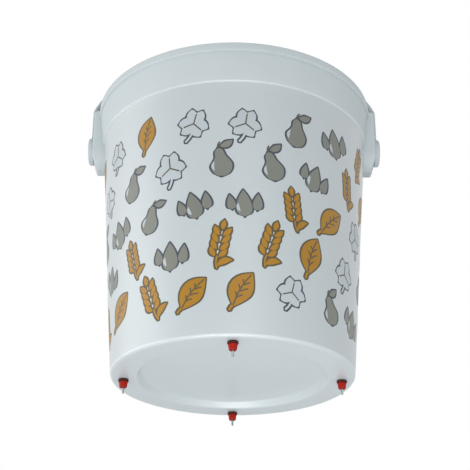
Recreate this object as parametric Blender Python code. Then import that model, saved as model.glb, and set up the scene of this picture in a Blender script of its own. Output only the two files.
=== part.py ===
"""Hanging livestock drinker: a flared plastic bucket with a folding bail handle and
drinking nipples screwed through its base. Metres, +Z up. The origin is on the bucket's
axis, level with the tips of the trigger pins."""

import math

import bmesh
import bpy
import numpy as np

# Bucket shell
BASE_RADIUS = 0.135
WALL_FLARE = 0.022
WALL_HEIGHT = 0.288
WALL_THICKNESS = 0.0022
FLOOR_THICKNESS = 0.0025
CORNER_RADIUS = 0.0035
RING_WIDTH = 0.0295
RECESS_DEPTH = 0.008
RECESS_SLOPE = 0.0045
COLLAR_STEP = 0.0016
COLLAR_FLARE = 0.0037
COLLAR_HEIGHT = 0.034
GROOVE_HEIGHT = 0.003
BEAD_HEIGHT = 0.010
BEAD_PROUD = 0.0021
BEAD_WIDTH = 0.0034
BEAD_BEND = 0.0014
GROOVE_DRAFT = 0.0002
LIP_BEND = 0.001
FOOT_BEND = 0.002
RECESS_BEND = 0.003
FLOOR_BEND = 0.003

# Moulded ears that carry the handle
EAR_REACH = 0.005
EAR_WIDTH = 0.044
EAR_DROP = 0.029
EAR_FOOT_WIDTH = 0.012
EAR_TAPER_HEIGHT = 0.014
EAR_TAPER_DEPTH = 0.0045
EAR_FOOT_BEND = 0.002
EAR_FACE_BEND = 0.006
EAR_TOP_BEND = 0.0045
EAR_EDGE_BEND = 0.0015
PIVOT_DROP = 0.0462
PIVOT_RADIUS = 0.004
PIVOT_LENGTH = 0.0095
PIVOT_BEND = 0.0006

# Bail handle
STRAP_WIDTH = 0.018
STRAP_THICKNESS = 0.003
HUB_RADIUS = 0.0165
HUB_THICKNESS = 0.006
HUB_BEND = 0.0025
GRIP_WIDTH = 0.026
GRIP_THICKNESS = 0.010
GRIP_LENGTH = 0.100
GRIP_FLAT = 0.030
HANDLE_RISE = 0.100
SHOULDER_RISE = 0.006
ARCH_PULL = 0.125

# Drinking nipples
NIPPLE_COUNT = 4
NIPPLE_INSET = 0.0145
BORE_RADIUS = 0.003
STEM_WALL = 0.001
STEM_SPARE = 0.0014
STEM_BEND = 0.0004
SHOULDER_WIDTH = 0.001
BODY_LENGTH = 0.0065
BODY_TIP_RADIUS = 0.0041
CONE_BEND = 0.0007
LIP_HEIGHT = 0.0007
LIP_WIDTH = 0.0006
SEAL_HEIGHT = 0.0028
SEAL_WIDTH = 0.0015
NUT_HEIGHT = 0.005
NUT_WALL = 0.0029
BUSH_HEIGHT = 0.003
BUSH_WALL = 0.0008
PIN_RADIUS = 0.0013
PIN_REACH = 0.007
HEAD_OVERLAP = 0.0005
STUD_RADIUS = 0.0008
STUD_HEIGHT = 0.0008
SEAT_RADIUS = 0.0017
SEAT_HEIGHT = 0.0012
SEAT_CHAMFER = 0.0004
BALL_PLAY = 0.0006
STRAINER_HEIGHT = 0.0018
STRAINER_SPIGOT = 0.0025
STRAINER_WALL = 0.0009
SLOT_WIDTH = 0.0012

# Clearances
FIT_GAP = 0.0003
VALVE_GAP = 0.0002

# Facets
SHELL_STEPS = 72
NIPPLE_STEPS = 20
PIN_STEPS = 12
HUB_STEPS = 32
PIVOT_STEPS = 20
BEND_STEPS = 2
FOOT_STEPS = 6
ARCH_STEPS = 14

# The levels and radii that follow from those sizes
BASE_Z = SEAL_HEIGHT + 2 * VALVE_GAP + BODY_LENGTH + PIN_REACH
FLOOR_Z = BASE_Z + FLOOR_THICKNESS
WALL_TOP_RADIUS = BASE_RADIUS + WALL_FLARE
COLLAR_RADIUS = WALL_TOP_RADIUS + COLLAR_STEP
COLLAR_TOP_RADIUS = COLLAR_RADIUS + COLLAR_FLARE
BEAD_RADIUS = COLLAR_TOP_RADIUS + BEAD_PROUD
COLLAR_Z = BASE_Z + WALL_HEIGHT
GROOVE_Z = COLLAR_Z + COLLAR_HEIGHT
BEAD_Z = GROOVE_Z + GROOVE_HEIGHT
RIM_Z = BEAD_Z + BEAD_HEIGHT
RECESS_RADIUS = BASE_RADIUS - RING_WIDTH
PIVOT_Z = RIM_Z - PIVOT_DROP
EAR_FACE = BEAD_RADIUS + EAR_REACH
STRAP_X = EAR_FACE + FIT_GAP + STRAP_THICKNESS / 2
SHOULDER_Z = PIVOT_Z + math.hypot(EAR_WIDTH / 2, PIVOT_DROP)
GRIP_Z = RIM_Z + HANDLE_RISE
NIPPLE_CIRCLE = BASE_RADIUS - NIPPLE_INSET
STEM_RADIUS = BORE_RADIUS + STEM_WALL
SEAL_BORE = STEM_RADIUS + FIT_GAP
BODY_TOP_Z = BASE_Z - SEAL_HEIGHT - 2 * VALVE_GAP
BODY_BOTTOM_Z = BODY_TOP_Z - BODY_LENGTH
NUT_Z = FLOOR_Z + VALVE_GAP
STEM_TOP_Z = NUT_Z + NUT_HEIGHT + STEM_SPARE
BUSH_BORE = BORE_RADIUS - VALVE_GAP - BUSH_WALL
BUSH_Z = BODY_BOTTOM_Z + LIP_HEIGHT + VALVE_GAP
BUSH_TOP_Z = BUSH_Z + BUSH_HEIGHT
HEAD_RADIUS = BUSH_BORE + HEAD_OVERLAP
HEAD_Z = BUSH_TOP_Z + math.sqrt((HEAD_RADIUS + VALVE_GAP) ** 2 - BUSH_BORE**2)
STUD_TOP_Z = HEAD_Z + HEAD_RADIUS + STUD_HEIGHT
BALL_RADIUS = BORE_RADIUS - BALL_PLAY
BALL_SEAT_RISE = math.sqrt((BALL_RADIUS + VALVE_GAP) ** 2 - SEAT_RADIUS**2)
BALL_Z = STUD_TOP_Z + VALVE_GAP + BALL_RADIUS
SEAT_TOP_Z = BALL_Z - BALL_SEAT_RISE


def clear_scene():
    for thing in list(bpy.data.objects):
        bpy.data.objects.remove(thing, do_unlink=True)


def plastic(name, color, roughness, metallic=0.0):
    """A Principled material of one colour."""
    material = bpy.data.materials.new(name)
    material.use_nodes = True
    shader = material.node_tree.nodes["Principled BSDF"]
    shader.inputs["Base Color"].default_value = (*color, 1.0)
    shader.inputs["Roughness"].default_value = roughness
    shader.inputs["Metallic"].default_value = metallic
    material.diffuse_color = (*color, 1.0)
    return material


def place(name, mesh, material=None, location=(0.0, 0.0, 0.0), turn=0.0):
    """An object of this mesh, turned about Z and moved to its place."""
    thing = bpy.data.objects.new(name, mesh)
    thing.location = location
    thing.rotation_euler = (0.0, 0.0, turn)
    bpy.context.scene.collection.objects.link(thing)
    if material is not None and not mesh.materials:
        mesh.materials.append(material)
    return thing


def helper(thing):
    """Marks an object that only shapes another one."""
    thing.hide_render = True
    thing.display_type = "WIRE"
    return thing


def combine(thing, other, operation):
    """Joins the other solid to this one, or cuts it away."""
    modifier = thing.modifiers.new(other.name, "BOOLEAN")
    modifier.operation = operation
    modifier.object = other
    modifier.solver = "EXACT"


def rounded(corners):
    """The outline through (x, z, radius) corners, each replaced by an arc of its radius."""
    points = []
    for index, (x, z, radius) in enumerate(corners):
        if radius == 0 or index in (0, len(corners) - 1):
            points.append((x, z))
            continue
        here = np.array((x, z))
        before = np.array(corners[index - 1][:2]) - here
        after = np.array(corners[index + 1][:2]) - here
        before /= np.linalg.norm(before)
        after /= np.linalg.norm(after)
        half = math.acos(float(np.clip(before @ after, -1, 1))) / 2
        middle = here + (before + after) / np.linalg.norm(before + after) * radius / math.sin(half)
        start = here + before * radius / math.tan(half) - middle
        end = here + after * radius / math.tan(half) - middle
        sweep = math.pi - 2 * half
        for step in range(BEND_STEPS + 1):
            share = step / BEND_STEPS
            arc = start * math.sin((1 - share) * sweep) + end * math.sin(share * sweep)
            points.append(tuple(middle + arc / math.sin(sweep)))
    return points


def sphere_arc(radius, middle_z, start, end, steps):
    """Points of a sphere's outline from one angle to another, in degrees above its equator."""
    angles = np.radians(np.linspace(start, end, steps + 1))
    return [(radius * math.cos(a), middle_z + radius * math.sin(a)) for a in angles]


def turned_mesh(name, outline, steps):
    """The closed mesh that an outline sweeps round Z. It runs down the outer side."""
    shape = bmesh.new()
    closed = outline[0][0] > 0 and outline[-1][0] > 0
    verts = [shape.verts.new((r, 0.0, z)) for r, z in outline]
    edges = [shape.edges.new(pair) for pair in zip(verts, verts[1:])]
    if closed:
        edges.append(shape.edges.new((verts[-1], verts[0])))
    bmesh.ops.spin(
        shape,
        geom=verts + edges,
        cent=(0, 0, 0),
        axis=(0, 0, 1),
        angle=2 * math.pi,
        steps=steps,
        use_merge=True,
    )
    bmesh.ops.remove_doubles(shape, verts=shape.verts, dist=1e-6)
    bmesh.ops.recalc_face_normals(shape, faces=shape.faces)
    return finished(name, shape)


def rod_mesh(name, radius, start_x, end_x, steps, bevel=0.0):
    """A round rod along X, with its outer end rounded over by the bevel."""
    shape = bmesh.new()
    length = abs(end_x - start_x)
    bmesh.ops.create_cone(
        shape, cap_ends=True, segments=steps, radius1=radius, radius2=radius, depth=length
    )
    if bevel:
        rim = [edge for edge in shape.edges if all(v.co.z > 0 for v in edge.verts)]
        bmesh.ops.bevel(shape, geom=rim, offset=bevel, segments=2, affect="EDGES", profile=0.5)
    for vert in shape.verts:
        x, y, z = vert.co
        vert.co = (start_x + (z + length / 2) * math.copysign(1, end_x - start_x), y, x)
    bmesh.ops.recalc_face_normals(shape, faces=shape.faces)
    return finished(name, shape)


def finished(name, shape):
    if shape.calc_volume(signed=True) < 0:
        bmesh.ops.reverse_faces(shape, faces=shape.faces)
    mesh = bpy.data.meshes.new(name)
    shape.to_mesh(mesh)
    shape.free()
    mesh.shade_smooth()
    mesh.set_sharp_from_angle(angle=math.radians(35))
    return mesh


def wall_radius(z):
    """The outer radius of the plain wall at a height."""
    return BASE_RADIUS + WALL_FLARE * (z - BASE_Z) / WALL_HEIGHT


def shell_outline():
    """Up the inside from the middle of the floor, over the rim and down the outside."""
    panel_z = BASE_Z + RECESS_DEPTH
    inner_floor = BASE_RADIUS - WALL_THICKNESS
    plateau = RECESS_RADIUS - RECESS_SLOPE + FLOOR_THICKNESS / 2
    return rounded(
        [
            (0.0, panel_z + FLOOR_THICKNESS, 0),
            (plateau, panel_z + FLOOR_THICKNESS, RECESS_BEND),
            (plateau + RECESS_SLOPE, FLOOR_Z, FOOT_BEND),
            (inner_floor, FLOOR_Z, FLOOR_BEND),
            (WALL_TOP_RADIUS - WALL_THICKNESS, COLLAR_Z, 0),
            (COLLAR_RADIUS - WALL_THICKNESS, COLLAR_Z + WALL_THICKNESS, 0),
            (BEAD_RADIUS - BEAD_WIDTH, RIM_Z, 0),
            (BEAD_RADIUS, RIM_Z, BEAD_BEND),
            (BEAD_RADIUS, BEAD_Z, BEAD_BEND),
            (COLLAR_TOP_RADIUS - GROOVE_DRAFT, BEAD_Z, GROOVE_DRAFT),
            (COLLAR_TOP_RADIUS, GROOVE_Z, 0),
            (COLLAR_RADIUS, COLLAR_Z, LIP_BEND),
            (WALL_TOP_RADIUS, COLLAR_Z, 0),
            (BASE_RADIUS, BASE_Z, CORNER_RADIUS),
            (RECESS_RADIUS, BASE_Z, FOOT_BEND),
            (RECESS_RADIUS - RECESS_SLOPE, panel_z, RECESS_BEND),
            (0.0, panel_z, 0),
        ]
    )


def mid_wall_core():
    """A solid that fills the bucket to the middle of its wall. It trims the ears."""
    half = WALL_THICKNESS / 2
    low_z = PIVOT_Z - 2 * EAR_DROP
    outline = [
        (0.0, RIM_Z + EAR_REACH),
        (BEAD_RADIUS - BEAD_WIDTH / 2, RIM_Z + EAR_REACH),
        (BEAD_RADIUS - BEAD_WIDTH / 2, RIM_Z - BEAD_HEIGHT / 2),
        (COLLAR_RADIUS - half, COLLAR_Z + half),
        (WALL_TOP_RADIUS - half, COLLAR_Z),
        (wall_radius(low_z) - half, low_z),
        (0.0, low_z),
    ]
    return helper(place("mid_wall_core", turned_mesh("mid_wall_core", outline, SHELL_STEPS)))


def ear_outline():
    """The ear's side, from its drawn-in foot up to its rounded top edge."""
    low_z = PIVOT_Z - EAR_DROP
    top_z = RIM_Z - FIT_GAP
    return rounded(
        [
            (BASE_RADIUS, low_z, 0),
            (EAR_FACE - EAR_TAPER_DEPTH, low_z, EAR_FOOT_BEND),
            (EAR_FACE, low_z + EAR_TAPER_HEIGHT, EAR_FACE_BEND),
            (EAR_FACE, top_z, EAR_TOP_BEND),
            (BASE_RADIUS, top_z, 0),
        ]
    )[1:-1]


def ear_mesh():
    """The ear as a stack of level sections: rounded at its two front corners, and narrowing to a
    round foot below."""
    outline = np.array(ear_outline())
    low_z = outline[0, 1]
    half = EAR_WIDTH / 2
    narrow = EAR_FOOT_WIDTH / 2
    middle_z = low_z + math.sqrt(half**2 - narrow**2)
    turns = np.linspace(math.acos(narrow / half), 0, FOOT_STEPS + 1)[1:]
    levels = middle_z - half * np.sin(turns)
    faces = np.interp(levels, outline[:, 1], outline[:, 0])
    outline = np.vstack([outline, np.stack([faces, levels], axis=1)])
    outline = outline[np.argsort(outline[:, 1])]
    bend = EAR_EDGE_BEND * (1 - math.sqrt(0.5))
    shape = bmesh.new()
    rings = []
    for x, z in outline:
        width = half if z > middle_z else math.sqrt(half**2 - (middle_z - z) ** 2)
        side = [
            (BASE_RADIUS, width),
            (x - EAR_EDGE_BEND, width),
            (x - bend, width - bend),
            (x, width - EAR_EDGE_BEND),
        ]
        ring = side + [(a, -b) for a, b in side[::-1]]
        rings.append([shape.verts.new((a, b, z)) for a, b in ring])
    for ring, following in zip(rings, rings[1:]):
        for a, b, c, d in zip(ring, ring[1:] + ring[:1], following[1:] + following[:1], following):
            shape.faces.new((a, b, c, d))
    shape.faces.new(rings[0][::-1])
    shape.faces.new(rings[-1])
    bmesh.ops.recalc_face_normals(shape, faces=shape.faces)
    return finished("ear", shape)


def bucket_shell(material):
    shell_mesh = turned_mesh("bucket_shell", shell_outline(), SHELL_STEPS)
    shell = place("bucket_shell", shell_mesh, material)
    core = mid_wall_core()
    ear_shape = ear_mesh()
    socket_end = EAR_FACE - PIVOT_LENGTH - FIT_GAP
    socket_radius = PIVOT_RADIUS + FIT_GAP
    socket_mesh = rod_mesh("pivot_socket", socket_radius, socket_end, EAR_FACE + EAR_REACH, PIVOT_STEPS)
    for side, turn in (("right", 0.0), ("left", math.pi)):
        ear = place(f"ear_{side}", ear_shape, turn=turn)
        combine(ear, core, "DIFFERENCE")
        combine(shell, helper(ear), "UNION")
        socket = place(f"pivot_socket_{side}", socket_mesh, None, (0, 0, PIVOT_Z), turn)
        combine(shell, helper(socket), "DIFFERENCE")
    hole_outline = [
        (0.0, FLOOR_Z + FLOOR_THICKNESS),
        (SEAL_BORE, FLOOR_Z + FLOOR_THICKNESS),
        (SEAL_BORE, BASE_Z - FLOOR_THICKNESS),
        (0.0, BASE_Z - FLOOR_THICKNESS),
    ]
    hole_mesh = turned_mesh("nipple_hole", hole_outline, NIPPLE_STEPS)
    for number, (x, y, _) in enumerate(nipple_places(), start=1):
        hole = place(f"nipple_hole_{number}", hole_mesh, None, (x, y, 0))
        combine(shell, helper(hole), "DIFFERENCE")


def nipple_places():
    """The x, y and turn of each nipple, starting at the front and going round."""
    angles = [2 * math.pi * k / NIPPLE_COUNT - math.pi / 2 for k in range(NIPPLE_COUNT)]
    return [(NIPPLE_CIRCLE * math.cos(a), NIPPLE_CIRCLE * math.sin(a), a) for a in angles]


def handle_path():
    """The strap's middle line in X-Z, from the right hub over the grip to the left one."""
    first = np.array((STRAP_X, SHOULDER_Z))
    pulls = (first + (0, SHOULDER_RISE), np.array((ARCH_PULL, GRIP_Z)))
    last = np.array((GRIP_FLAT / 2, GRIP_Z))
    t = np.linspace(0, 1, ARCH_STEPS + 1)[:, None]
    arch = (
        (1 - t) ** 3 * first
        + 3 * (1 - t) ** 2 * t * pulls[0]
        + 3 * (1 - t) * t**2 * pulls[1]
        + t**3 * last
    )
    right = np.vstack([(STRAP_X, PIVOT_Z), arch])
    return np.vstack([right, right[::-1] * (-1, 1)])


def section(width, thickness):
    """A rounded rectangle as (across, outward) offsets, two facets to a corner."""
    bend = 0.3 * thickness
    points = []
    for corner, (sx, sz) in enumerate(((1, 1), (-1, 1), (-1, -1), (1, -1))):
        for step in range(3):
            angle = math.pi / 2 * corner + math.pi / 4 * step
            points.append(
                (
                    sx * (width / 2 - bend) + bend * math.cos(angle),
                    sz * (thickness / 2 - bend) + bend * math.sin(angle),
                )
            )
    return points


def handle_mesh():
    """The strap, swept along its path and thickening smoothly into the grip."""
    path = handle_path()
    ahead = np.gradient(path, axis=0)
    ahead[0] = ahead[1] = (0, 1)
    ahead[-1] = ahead[-2] = (0, -1)
    ahead /= np.linalg.norm(ahead, axis=1)[:, None]
    outward = np.stack([ahead[:, 1], -ahead[:, 0]], axis=1)
    blend = np.clip((GRIP_LENGTH / 2 + GRIP_WIDTH - np.abs(path[:, 0])) / GRIP_WIDTH, 0, 1)
    blend = blend**2 * (3 - 2 * blend)
    blend[np.abs(path[:, 0]) > BASE_RADIUS] = 0
    shape = bmesh.new()
    rings = []
    for point, normal, share in zip(path, outward, blend):
        width = STRAP_WIDTH + (GRIP_WIDTH - STRAP_WIDTH) * share
        thickness = STRAP_THICKNESS + (GRIP_THICKNESS - STRAP_THICKNESS) * share
        ring = []
        for across, out in section(width, thickness):
            x, z = point + normal * out
            ring.append(shape.verts.new((x, across, z)))
        rings.append(ring)
    for ring, following in zip(rings, rings[1:]):
        for a, b, c, d in zip(ring, ring[1:] + ring[:1], following[1:] + following[:1], following):
            shape.faces.new((a, b, c, d))
    shape.faces.new(rings[0][::-1])
    shape.faces.new(rings[-1])
    bmesh.ops.recalc_face_normals(shape, faces=shape.faces)
    return finished("handle", shape)


def handle(material):
    """The bail: strap and grip, with a hub and a pivot pin at each end."""
    bail = place("handle", handle_mesh(), material)
    inner = EAR_FACE + FIT_GAP
    hub_mesh = rod_mesh("hub", HUB_RADIUS, inner, inner + HUB_THICKNESS, HUB_STEPS, HUB_BEND)
    pin_start = inner + STRAP_THICKNESS
    pin_end = EAR_FACE - PIVOT_LENGTH
    pin_mesh = rod_mesh("pivot_pin", PIVOT_RADIUS, pin_start, pin_end, PIVOT_STEPS, PIVOT_BEND)
    for side, turn in (("right", 0.0), ("left", math.pi)):
        hub = place(f"hub_{side}", hub_mesh, None, (0, 0, PIVOT_Z), turn)
        pin = place(f"pivot_pin_{side}", pin_mesh, None, (0, 0, PIVOT_Z), turn)
        combine(bail, helper(hub), "UNION")
        combine(bail, helper(pin), "UNION")


def nipple_body_mesh():
    """The red housing: cone and shoulder below the base, threaded stem through it."""
    ledge = SEAT_TOP_Z - SEAT_HEIGHT
    lip_top = BODY_BOTTOM_Z + LIP_HEIGHT
    return turned_mesh(
        "nipple_body",
        rounded(
            [
                (BORE_RADIUS - LIP_WIDTH, BODY_BOTTOM_Z, 0),
                (BORE_RADIUS - LIP_WIDTH, lip_top, 0),
                (BORE_RADIUS, lip_top, 0),
                (BORE_RADIUS, ledge, 0),
                (SEAT_RADIUS, ledge, 0),
                (SEAT_RADIUS, SEAT_TOP_Z, 0),
                (BORE_RADIUS, SEAT_TOP_Z + SEAT_CHAMFER, 0),
                (BORE_RADIUS, STEM_TOP_Z, 0),
                (STEM_RADIUS, STEM_TOP_Z, STEM_BEND),
                (STEM_RADIUS, BODY_TOP_Z, 0),
                (STEM_RADIUS + SHOULDER_WIDTH, BODY_TOP_Z, STEM_BEND),
                (BODY_TIP_RADIUS, BODY_BOTTOM_Z, CONE_BEND),
                (BORE_RADIUS - LIP_WIDTH, BODY_BOTTOM_Z, 0),
            ]
        )[:-1],
        NIPPLE_STEPS,
    )


def ring_mesh(name, bore, radius, low_z, high_z):
    """A plain turned ring."""
    corners = [(bore, low_z), (bore, high_z), (radius, high_z), (radius, low_z)]
    return turned_mesh(name, corners, NIPPLE_STEPS)


def lock_nut_mesh():
    """A hexagon nut with one flat facing the bucket's wall."""
    across = (STEM_RADIUS + VALVE_GAP + NUT_WALL) / math.cos(math.pi / 6)
    nut = ring_mesh("lock_nut", STEM_RADIUS + VALVE_GAP, across, NUT_Z, NUT_Z + NUT_HEIGHT)
    flat = STEM_RADIUS + VALVE_GAP + NUT_WALL
    for vert in nut.vertices:
        radius = math.hypot(vert.co.x, vert.co.y)
        if radius < flat:
            continue
        angle = math.atan2(vert.co.y, vert.co.x)
        from_flat = (angle + math.pi / 6) % (math.pi / 3) - math.pi / 6
        reach = flat / math.cos(from_flat)
        vert.co.x = reach * math.cos(angle)
        vert.co.y = reach * math.sin(angle)
    nut.set_sharp_from_angle(angle=math.radians(25))
    return nut


def trigger_pin_mesh():
    """The drinking pin: stud, round head on the bush, shank and rounded tip."""
    stud_angle = math.degrees(math.acos(STUD_RADIUS / HEAD_RADIUS))
    shank_angle = math.degrees(math.acos(PIN_RADIUS / HEAD_RADIUS))
    outline = [(0.0, STUD_TOP_Z), (STUD_RADIUS, STUD_TOP_Z)]
    outline += sphere_arc(HEAD_RADIUS, HEAD_Z, stud_angle, -shank_angle, 5)
    outline += sphere_arc(PIN_RADIUS, PIN_RADIUS, 0, -90, 3)
    outline[-1] = (0.0, 0.0)
    return turned_mesh("trigger_pin", outline, PIN_STEPS)


def valve_ball_mesh():
    outline = sphere_arc(BALL_RADIUS, BALL_Z, 90, -90, 6)
    outline[0] = (0.0, BALL_Z + BALL_RADIUS)
    outline[-1] = (0.0, BALL_Z - BALL_RADIUS)
    return turned_mesh("valve_ball", outline, PIN_STEPS)


def strainer_mesh():
    """The inlet cap: a spigot in the stem and a slotted disc on top that keeps the ball in."""
    low_z = STEM_TOP_Z + VALVE_GAP
    spigot = BORE_RADIUS - VALVE_GAP
    outline = rounded(
        [
            (0.0, low_z, 0),
            (spigot - STRAINER_WALL, low_z, 0),
            (spigot - STRAINER_WALL, STEM_TOP_Z - STRAINER_SPIGOT, 0),
            (spigot, STEM_TOP_Z - STRAINER_SPIGOT, 0),
            (spigot, low_z, 0),
            (STEM_RADIUS, low_z, 0),
            (STEM_RADIUS, low_z + STRAINER_HEIGHT, STEM_BEND),
            (0.0, low_z + STRAINER_HEIGHT, 0),
        ]
    )[::-1]
    return turned_mesh("inlet_strainer", outline, NIPPLE_STEPS)


def slot_cutter(number, x, y, turn):
    """An upright bar with a cross outline, which opens the strainer's disc."""
    reach = BORE_RADIUS - VALVE_GAP - STRAINER_WALL
    half = SLOT_WIDTH / 2
    low_z = STEM_TOP_Z - STRAINER_HEIGHT
    shape = bmesh.new()
    verts = []
    for quarter in range(4):
        angle = math.pi / 2 * quarter
        for along, across in ((half, -half), (reach, -half), (reach, half)):
            spot_x = along * math.cos(angle) - across * math.sin(angle)
            spot_y = along * math.sin(angle) + across * math.cos(angle)
            verts.append(shape.verts.new((spot_x, spot_y, low_z)))
    drawn = bmesh.ops.extrude_face_region(shape, geom=[shape.faces.new(verts)])
    raised = [item for item in drawn["geom"] if isinstance(item, bmesh.types.BMVert)]
    bmesh.ops.translate(shape, verts=raised, vec=(0, 0, 4 * STRAINER_HEIGHT))
    bmesh.ops.recalc_face_normals(shape, faces=shape.faces)
    name = f"strainer_slots_{number}"
    return helper(place(name, finished(name, shape), None, (x, y, 0), turn))


def nipples():
    """Each nipple is a set of seven loose pieces on one axis."""
    red = plastic("nipple_red", (0.52, 0.03, 0.015), 0.4)
    rubber = plastic("seal_rubber", (0.03, 0.02, 0.02), 0.7)
    steel = plastic("stainless_steel", (0.55, 0.56, 0.55), 0.3, 1.0)
    white = plastic("strainer_white", (0.75, 0.76, 0.75), 0.5)
    seal_top = BASE_Z - VALVE_GAP
    seal_rim = SEAL_BORE + SEAL_WIDTH
    bush_rim = BORE_RADIUS - VALVE_GAP
    seal = ring_mesh("seal_washer", SEAL_BORE, seal_rim, seal_top - SEAL_HEIGHT, seal_top)
    pieces = {
        "nipple_body": (nipple_body_mesh(), red),
        "seal_washer": (seal, rubber),
        "lock_nut": (lock_nut_mesh(), red),
        "valve_bush": (ring_mesh("valve_bush", BUSH_BORE, bush_rim, BUSH_Z, BUSH_TOP_Z), steel),
        "trigger_pin": (trigger_pin_mesh(), steel),
        "valve_ball": (valve_ball_mesh(), steel),
        "inlet_strainer": (strainer_mesh(), white),
    }
    for number, (x, y, turn) in enumerate(nipple_places(), start=1):
        for kind, (mesh, material) in pieces.items():
            piece = place(f"{kind}_{number}", mesh, material, (x, y, 0), turn)
            if kind == "inlet_strainer":
                combine(piece, slot_cutter(number, x, y, turn), "DIFFERENCE")


def main():
    clear_scene()
    white = plastic("bucket_white", (0.78, 0.80, 0.81), 0.42)
    bucket_shell(white)
    handle(plastic("handle_white", (0.76, 0.78, 0.79), 0.45))
    nipples()


main()
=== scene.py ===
import math

import bpy
import numpy as np
from mathutils import Matrix, Vector


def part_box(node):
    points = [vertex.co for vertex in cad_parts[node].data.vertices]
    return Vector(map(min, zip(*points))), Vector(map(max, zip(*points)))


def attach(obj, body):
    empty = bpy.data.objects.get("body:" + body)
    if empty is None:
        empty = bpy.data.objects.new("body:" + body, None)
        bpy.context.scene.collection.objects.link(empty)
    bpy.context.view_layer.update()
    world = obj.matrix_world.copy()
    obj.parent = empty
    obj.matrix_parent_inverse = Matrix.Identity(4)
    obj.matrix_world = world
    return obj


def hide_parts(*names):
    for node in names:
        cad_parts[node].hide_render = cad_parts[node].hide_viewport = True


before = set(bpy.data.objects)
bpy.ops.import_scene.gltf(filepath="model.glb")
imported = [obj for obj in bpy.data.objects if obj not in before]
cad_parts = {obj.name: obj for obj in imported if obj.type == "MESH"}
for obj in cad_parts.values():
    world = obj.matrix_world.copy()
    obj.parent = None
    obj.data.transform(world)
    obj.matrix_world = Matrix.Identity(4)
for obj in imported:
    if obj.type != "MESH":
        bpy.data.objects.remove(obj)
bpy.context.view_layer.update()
print("frame loaded:", len(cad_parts), "nodes")

shellLow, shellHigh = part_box("bucket_shell")
baseZ = shellLow[2]
rimZ = shellHigh[2]


# Meshes from whole arrays

addObject = bpy.context.scene.collection.objects.link


def signedVolume(points, faces):
    # six times the volume is the sum of each triangle's corner triple product
    total = 0.0
    for quad in faces:
        a = points[quad[:, 0]]
        for k in range(1, quad.shape[1] - 1):
            total += np.einsum("ij,ij->", a, np.cross(points[quad[:, k]], points[quad[:, k + 1]]))
    return total


def meshFromArrays(name, points, faces, sharpDegrees=35.0):
    # faces is a list of arrays, each of faces with the same number of corners
    faces = [np.asarray(group, dtype=np.int32) for group in faces if len(group)]
    if signedVolume(points, faces) < 0:
        faces = [group[:, ::-1] for group in faces]
    sizes = np.concatenate([np.full(len(group), group.shape[1], np.int32) for group in faces])
    corners = np.concatenate([group.ravel() for group in faces])
    mesh = bpy.data.meshes.new(name)
    mesh.vertices.add(len(points))
    mesh.vertices.foreach_set("co", np.ascontiguousarray(points, np.float32).ravel())
    mesh.loops.add(len(corners))
    mesh.loops.foreach_set("vertex_index", corners)
    mesh.polygons.add(len(sizes))
    starts = np.concatenate(([0], np.cumsum(sizes)[:-1])).astype(np.int32)
    mesh.polygons.foreach_set("loop_start", starts)
    mesh.polygons.foreach_set("loop_total", sizes)
    mesh.update(calc_edges=True)
    mesh.validate()
    mesh.shade_smooth()
    mesh.set_sharp_from_angle(angle=math.radians(sharpDegrees))
    piece = bpy.data.objects.new(name, mesh)
    addObject(piece)
    return piece


def gridFaces(rows, columns, closeRows, closeColumns):
    # quads of a rows x columns grid of points, wrapping round where it is closed
    i = np.arange(rows if closeRows else rows - 1)
    j = np.arange(columns if closeColumns else columns - 1)
    i, j = np.meshgrid(i, j, indexing="ij")
    nextI = (i + 1) % rows
    nextJ = (j + 1) % columns
    quads = (i * columns + j, nextI * columns + j, nextI * columns + nextJ, i * columns + nextJ)
    return np.stack(quads, axis=-1).reshape(-1, 4)


def capFaces(ring, middle):
    # triangles from a ring of point numbers to one middle point
    ring = np.asarray(ring)
    return np.stack((ring, np.roll(ring, -1), np.full(len(ring), middle)), axis=-1)


def cappedGrid(rows, columns):
    # the grid's faces, and a fan over its first and its last ring to the two points after the grid
    first = np.arange(columns)
    last = first[::-1] + (rows - 1) * columns
    caps = [capFaces(first, rows * columns), capFaces(last, rows * columns + 1)]
    return [gridFaces(rows, columns, False, True), *caps]


def turnedPiece(name, profile, steps, centre, turn=0.0, swell=None, sharp=35.0):
    # x = radius cos(angle), y = radius sin(angle); the profile of radii and heights closes on itself, or
    # ends on the axis where its first and last radii are 0. swell(angle, height, radius) may change the
    # radius
    onAxis = profile[0, 0] == 0 and profile[-1, 0] == 0
    rings = profile[1:-1] if onAxis else profile
    angle = np.linspace(0, 2 * np.pi, steps, endpoint=False)[None, :]
    r = rings[:, :1] * np.ones_like(angle)
    z = rings[:, 1:] * np.ones_like(angle)
    if swell is not None:
        r = swell(angle * np.ones_like(r), z, r)
    x = centre[0] + r * np.cos(angle + turn)
    y = centre[1] + r * np.sin(angle + turn)
    points = np.stack((x, y, z), axis=-1).reshape(-1, 3)
    rows = r.shape[0]
    if not onAxis:
        return meshFromArrays(name, points, [gridFaces(rows, steps, True, True)], sharp)
    poles = [(*centre, profile[0, 1]), (*centre, profile[-1, 1])]
    return meshFromArrays(name, np.vstack((points, poles)), cappedGrid(rows, steps), sharp)


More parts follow.
